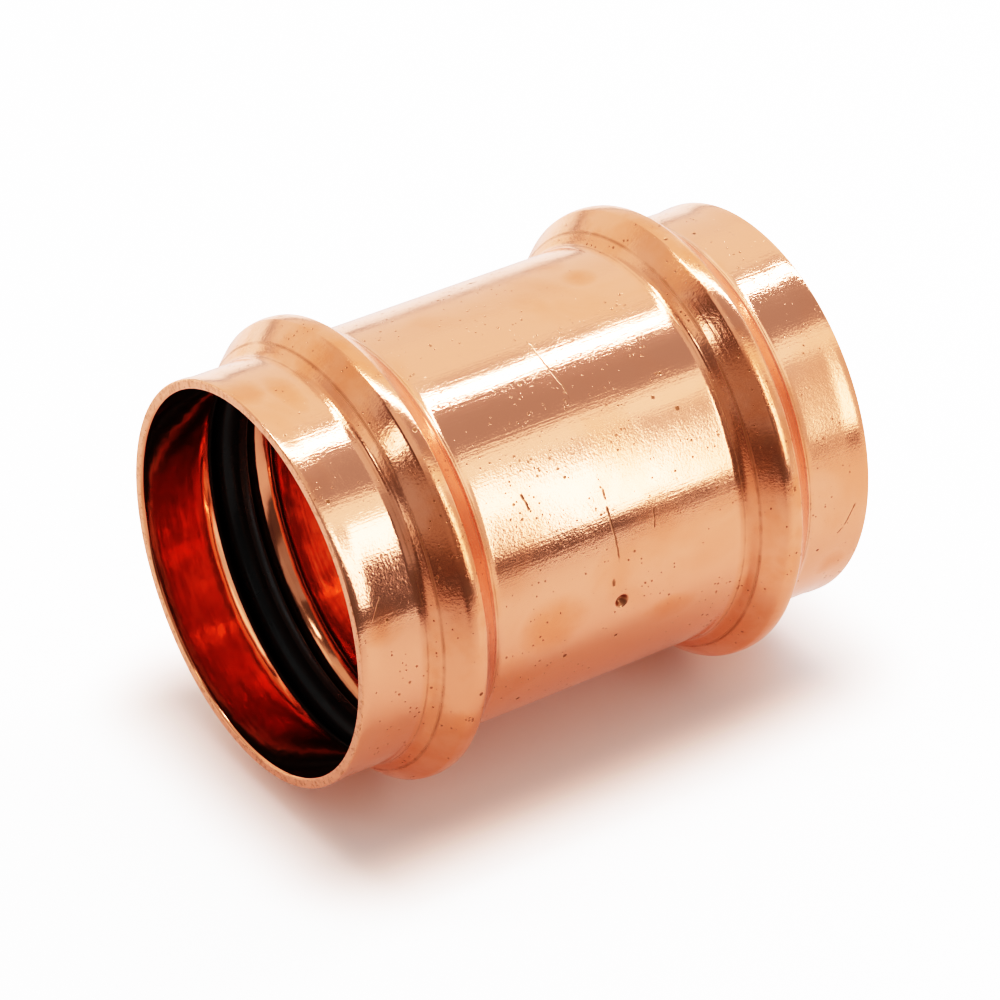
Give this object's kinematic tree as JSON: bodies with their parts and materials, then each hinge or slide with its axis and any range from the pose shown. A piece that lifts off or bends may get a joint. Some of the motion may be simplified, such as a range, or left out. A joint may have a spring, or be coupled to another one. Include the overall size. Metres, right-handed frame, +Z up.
{
  "type": "press-fit straight pipe coupling",
  "caption": "Straight copper press-fit coupling: a short tube with a plain socket and a rounded O-ring bead at each end and punched pipe stops in the middle.",
  "frame": {"origin": "centre of the coupling, on the pipe's axis, level with the pipe stops", "axes": "+X along the pipe's axis from the front mouth to the rear mouth, +Z up with the coupling lying on its two beads"},
  "size_m": [0.082, 0.0652, 0.0652],
  "materials": {
    "copper": "polished copper, bright outside with fine handling marks",
    "ring_rubber": "smooth black EPDM, slightly greased"
  },
  "bodies": {
    "root": {"coupling_body": "copper", "front_o_ring": "ring_rubber", "rear_o_ring": "ring_rubber"}
  },
  "joints": []
}
